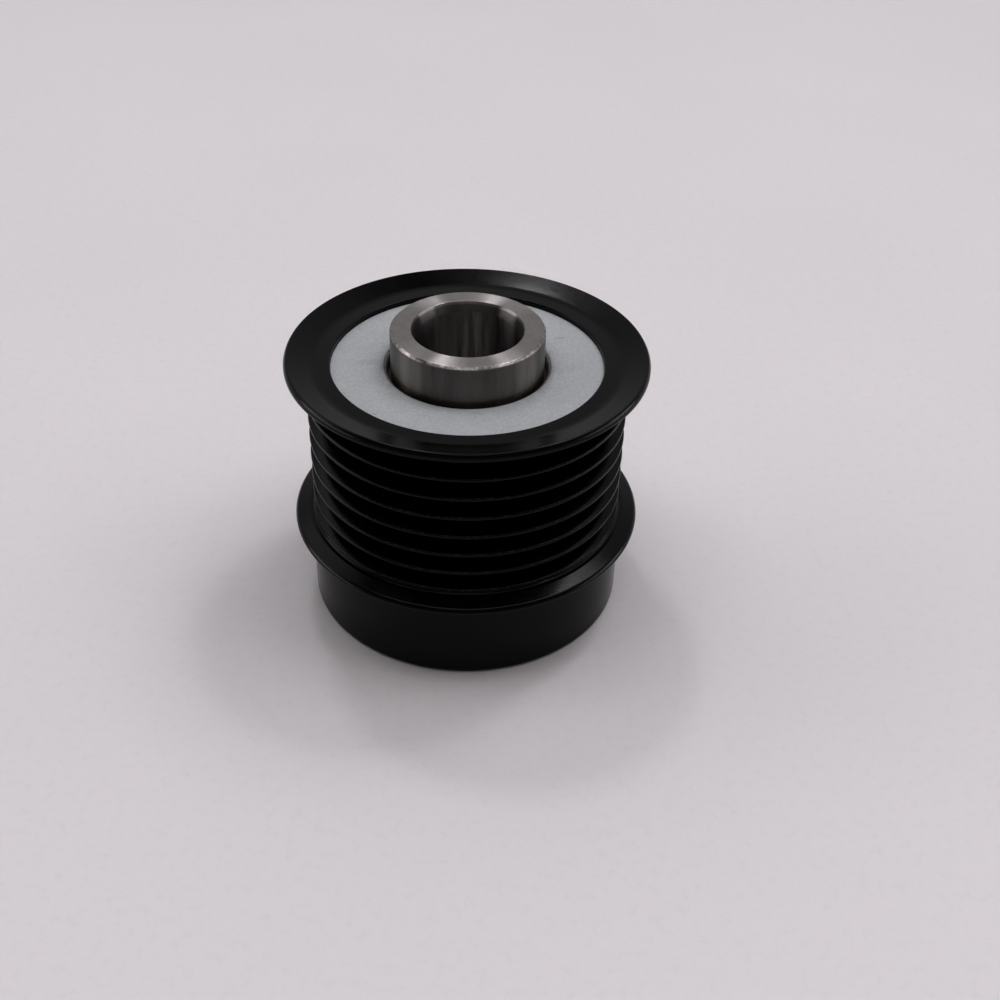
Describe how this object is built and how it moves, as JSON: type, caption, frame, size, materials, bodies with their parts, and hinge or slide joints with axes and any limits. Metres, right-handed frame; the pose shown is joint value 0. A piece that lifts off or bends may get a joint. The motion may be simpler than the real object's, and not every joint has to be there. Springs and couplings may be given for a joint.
{
  "type": "overrunning alternator pulley",
  "caption": "Overrunning pulley for a ribbed belt: black flanged ring with V grooves and a plain skirt, turning on a steel hub with a shaft bore, behind a grey cover disc.",
  "frame": {"origin": "on the axis, at the rim of the plain skirt that the pulley stands on", "axes": "+Z along the axis, from the skirt towards the shaft end of the hub"},
  "size_m": [0.0584, 0.0584, 0.0493],
  "materials": {
    "black_coating": "satin black coating",
    "turned_steel": "turned steel",
    "grey_cover": "matte light grey",
    "sheet_steel": "plain sheet",
    "seal_rubber": "matte",
    "bearing_steel": "ground",
    "ball_steel": "polished",
    "cage_plastic": "matte",
    "spring_steel": "oiled"
  },
  "bodies": {
    "pulley_body": {"pulley": "black_coating", "rear_cover": "grey_cover", "rear_seal_case": "sheet_steel", "rear_seal_lip": "seal_rubber", "rear_bearing_outer_ring": "bearing_steel", "rear_bearing_seal": "seal_rubber", "front_bearing_outer_ring": "bearing_steel", "front_bearing_seal": "seal_rubber", "clutch_outer_ring": "bearing_steel", "bore_snap_ring": "spring_steel"},
    "hub_body": {"hub": "turned_steel", "front_bearing_inner_ring": "bearing_steel", "rear_bearing_inner_ring": "bearing_steel", "clutch_cam_ring": "bearing_steel", "clutch_cage": "cage_plastic", "clutch_rollers": "ball_steel", "clutch_springs": "spring_steel", "clutch_front_washer": "sheet_steel", "clutch_rear_washer": "sheet_steel", "hub_snap_ring": "spring_steel"},
    "front_ball_train": {"front_bearing_balls": "ball_steel", "front_bearing_cage": "cage_plastic"},
    "rear_ball_train": {"rear_bearing_balls": "ball_steel", "rear_bearing_cage": "cage_plastic"}
  },
  "joints": [
    {"name": "hub_spin", "type": "hinge", "parent": "pulley_body", "child": "hub_body", "pos_m": [0, 0, 0.02], "axis": [0, 0, 1], "continuous": true},
    {"name": "front_balls_orbit", "type": "hinge", "parent": "pulley_body", "child": "front_ball_train", "pos_m": [0, 0, 0.0101], "axis": [0, 0, 1], "continuous": true},
    {"name": "rear_balls_orbit", "type": "hinge", "parent": "pulley_body", "child": "rear_ball_train", "pos_m": [0, 0, 0.0351], "axis": [0, 0, 1], "continuous": true}
  ],
  "couplings": [
    {"joint": "front_balls_orbit", "follows": "hub_spin", "ratio": 0.44355},
    {"joint": "rear_balls_orbit", "follows": "hub_spin", "ratio": 0.44355}
  ]
}
